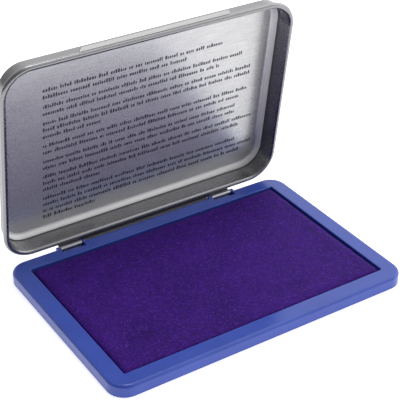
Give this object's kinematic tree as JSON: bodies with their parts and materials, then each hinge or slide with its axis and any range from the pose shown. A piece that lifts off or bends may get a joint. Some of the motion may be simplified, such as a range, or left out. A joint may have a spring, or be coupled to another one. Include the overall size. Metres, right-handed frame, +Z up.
{
  "type": "stamp ink pad",
  "caption": "Stamp ink pad: hinged drawn-tin lid with a curled rim standing open on a blue moulded base that holds an inked fabric cushion.",
  "frame": {"origin": "centre of the base's flat underside", "axes": "+Z up, +X right along the long side, +Y to the hinge; the lid stands open against its stop"},
  "size_m": [0.1234, 0.0935, 0.0898],
  "materials": {
    "blue_plastic": "glossy moulded",
    "tray_plastic": "fine moulded grain",
    "greyboard": "uncoated",
    "felt": "ink-soaked felt",
    "inked_fabric": "fine woven, ink-soaked",
    "steel_wire": "drawn wire",
    "tinplate": "bright satin tinplate",
    "leaf_steel": "plated strip"
  },
  "bodies": {
    "base": {"pad_frame": "blue_plastic", "base_tray": "tray_plastic", "cushion_board": "greyboard", "felt_core": "felt", "pad_cover": "inked_fabric", "hinge_pin_left": "steel_wire", "hinge_pin_right": "steel_wire"},
    "lid": {"lid_shell": "tinplate", "hinge_leaf": "leaf_steel"}
  },
  "joints": [
    {"name": "lid_hinge", "type": "hinge", "parent": "base", "child": "lid", "pos_m": [0, 0.042, 0.0041], "axis": [1, 0, 0], "range_deg": [0, 82]}
  ]
}
